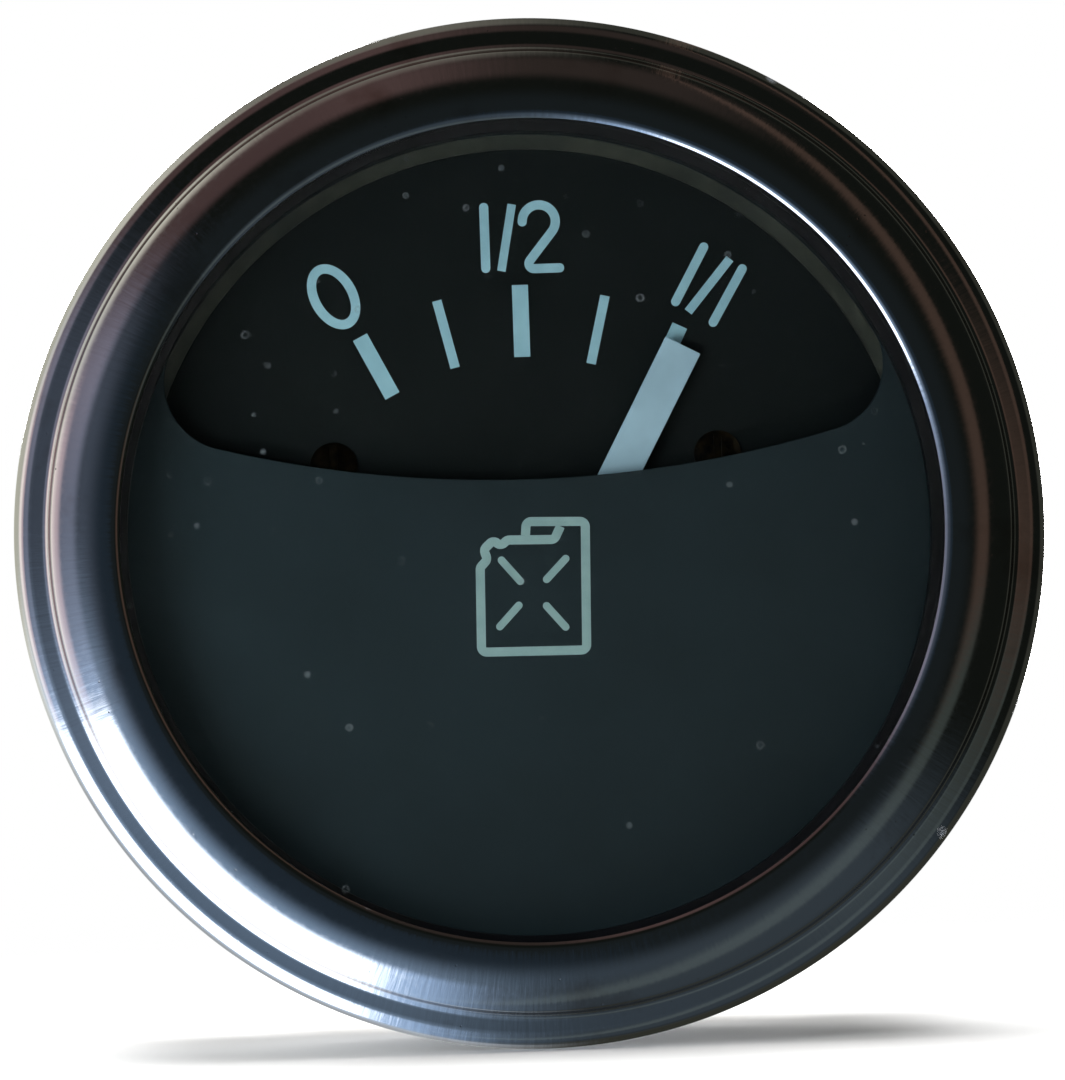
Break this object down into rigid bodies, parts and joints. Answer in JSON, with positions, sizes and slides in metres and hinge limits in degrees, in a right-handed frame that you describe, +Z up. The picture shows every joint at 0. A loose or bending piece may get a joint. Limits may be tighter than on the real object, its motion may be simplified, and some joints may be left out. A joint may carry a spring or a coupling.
{
  "type": "fuel gauge",
  "caption": "Round electric fuel gauge for a panel hole, with a rolled bezel, glass, moving-iron pointer, U clamp and push-in lamp holder.",
  "frame": {"origin": "on the gauge's axis, in the plane where the bezel's hem meets the panel", "axes": "+Z up the dial, +X to the reader's right, -Y out of the face, +Y behind the panel"},
  "size_m": [0.06, 0.0605, 0.06],
  "materials": {
    "bezel_chrome": "satin-polished chrome plate with fine circular wear",
    "clear_glass": "clear flat glass, lightly dusty",
    "black_rubber": "black rubber, matt",
    "black_ring": "satin black paint",
    "light_ring": "aged pale green-grey paint",
    "mask_paint": "satin blue-black paint with pale print",
    "dial_paint": "matt black paint with pale print",
    "pointer_paint": "matt pale grey-blue paint",
    "brass": "turned brass, slightly tarnished",
    "dark_screw": "blackened brass",
    "zinc_steel": "zinc plate, dulled",
    "case_steel": "drawn steel, tin plate",
    "soft_iron": "bare soft iron",
    "bobbin_fibre": "brown moulded resin",
    "fibre": "red-brown vulcanised fibre",
    "copper_wire": "enamelled copper wire",
    "bulb_glass": "clear bulb glass"
  },
  "bodies": {
    "case": {"bezel_ring": "bezel_chrome", "glass_lens": "clear_glass", "glass_gasket": "black_rubber", "spacer_ring": "black_ring", "dial_mask": "mask_paint", "light_ring": "light_ring", "dial_plate": "dial_paint", "dial_screws": "dark_screw", "dial_pillars": "brass", "case_can": "case_steel", "bearing_plate": "brass", "frame_posts": "zinc_steel", "movement_base": "zinc_steel", "base_spacers": "zinc_steel", "pole_piece_left": "soft_iron", "pole_piece_right": "soft_iron", "bobbin_left": "bobbin_fibre", "bobbin_right": "bobbin_fibre", "winding_left": "copper_wire", "winding_right": "copper_wire", "coil_leads": "copper_wire", "front_bearing": "brass", "rear_bearing": "brass", "terminal_studs": "brass", "terminal_bushes": "fibre", "terminal_inner_washers": "fibre", "solder_tags": "brass", "terminal_washers": "zinc_steel", "terminal_nuts": "brass", "mounting_studs": "zinc_steel", "stud_nuts": "zinc_steel"},
    "pointer": {"spindle": "zinc_steel", "armature": "soft_iron", "pointer_hub": "brass", "pointer_blade": "pointer_paint", "counterweight": "brass"},
    "clamp": {"clamp_bracket": "zinc_steel", "spring_washers": "zinc_steel"},
    "nut_left": {"knurled_nut_left": "brass"},
    "nut_right": {"knurled_nut_right": "brass"},
    "lamp_holder": {"lamp_shell": "zinc_steel", "lamp_insulator": "bobbin_fibre", "lamp_contact": "brass", "lamp_tab": "brass"},
    "bulb": {"bulb_cap": "brass", "bulb_glass": "bulb_glass"}
  },
  "joints": [
    {"name": "pointer_turn", "type": "hinge", "parent": "case", "child": "pointer", "pos_m": [0, 0, -0.0067], "axis": [0, 1, 0], "range_deg": [-58.3, 1.7]},
    {"name": "nut_left_turn", "type": "hinge", "parent": "clamp", "child": "nut_left", "pos_m": [-0.01905, 0.048, 0], "axis": [0, 1, 0], "range_deg": [-2315, 2058]},
    {"name": "nut_right_turn", "type": "hinge", "parent": "clamp", "child": "nut_right", "pos_m": [0.01905, 0.048, 0], "axis": [0, 1, 0], "range_deg": [-2315, 2058]},
    {"name": "clamp_slide", "type": "slide", "parent": "case", "child": "clamp", "axis": [0, 1, 0], "range_m": [-0.0045, 0.004]},
    {"name": "lamp_pull", "type": "slide", "parent": "case", "child": "lamp_holder", "axis": [0, 1, 0], "range_m": [0, 0.022]},
    {"name": "bulb_turn", "type": "hinge", "parent": "lamp_holder", "child": "bulb", "pos_m": [0, 0.036, 0.0152], "axis": [0, 1, 0], "range_deg": [0, 20]}
  ],
  "couplings": [
    {"joint": "nut_left_turn", "follows": "clamp_slide", "rad_per_m": 8976},
    {"joint": "nut_right_turn", "follows": "clamp_slide", "rad_per_m": 8976}
  ]
}
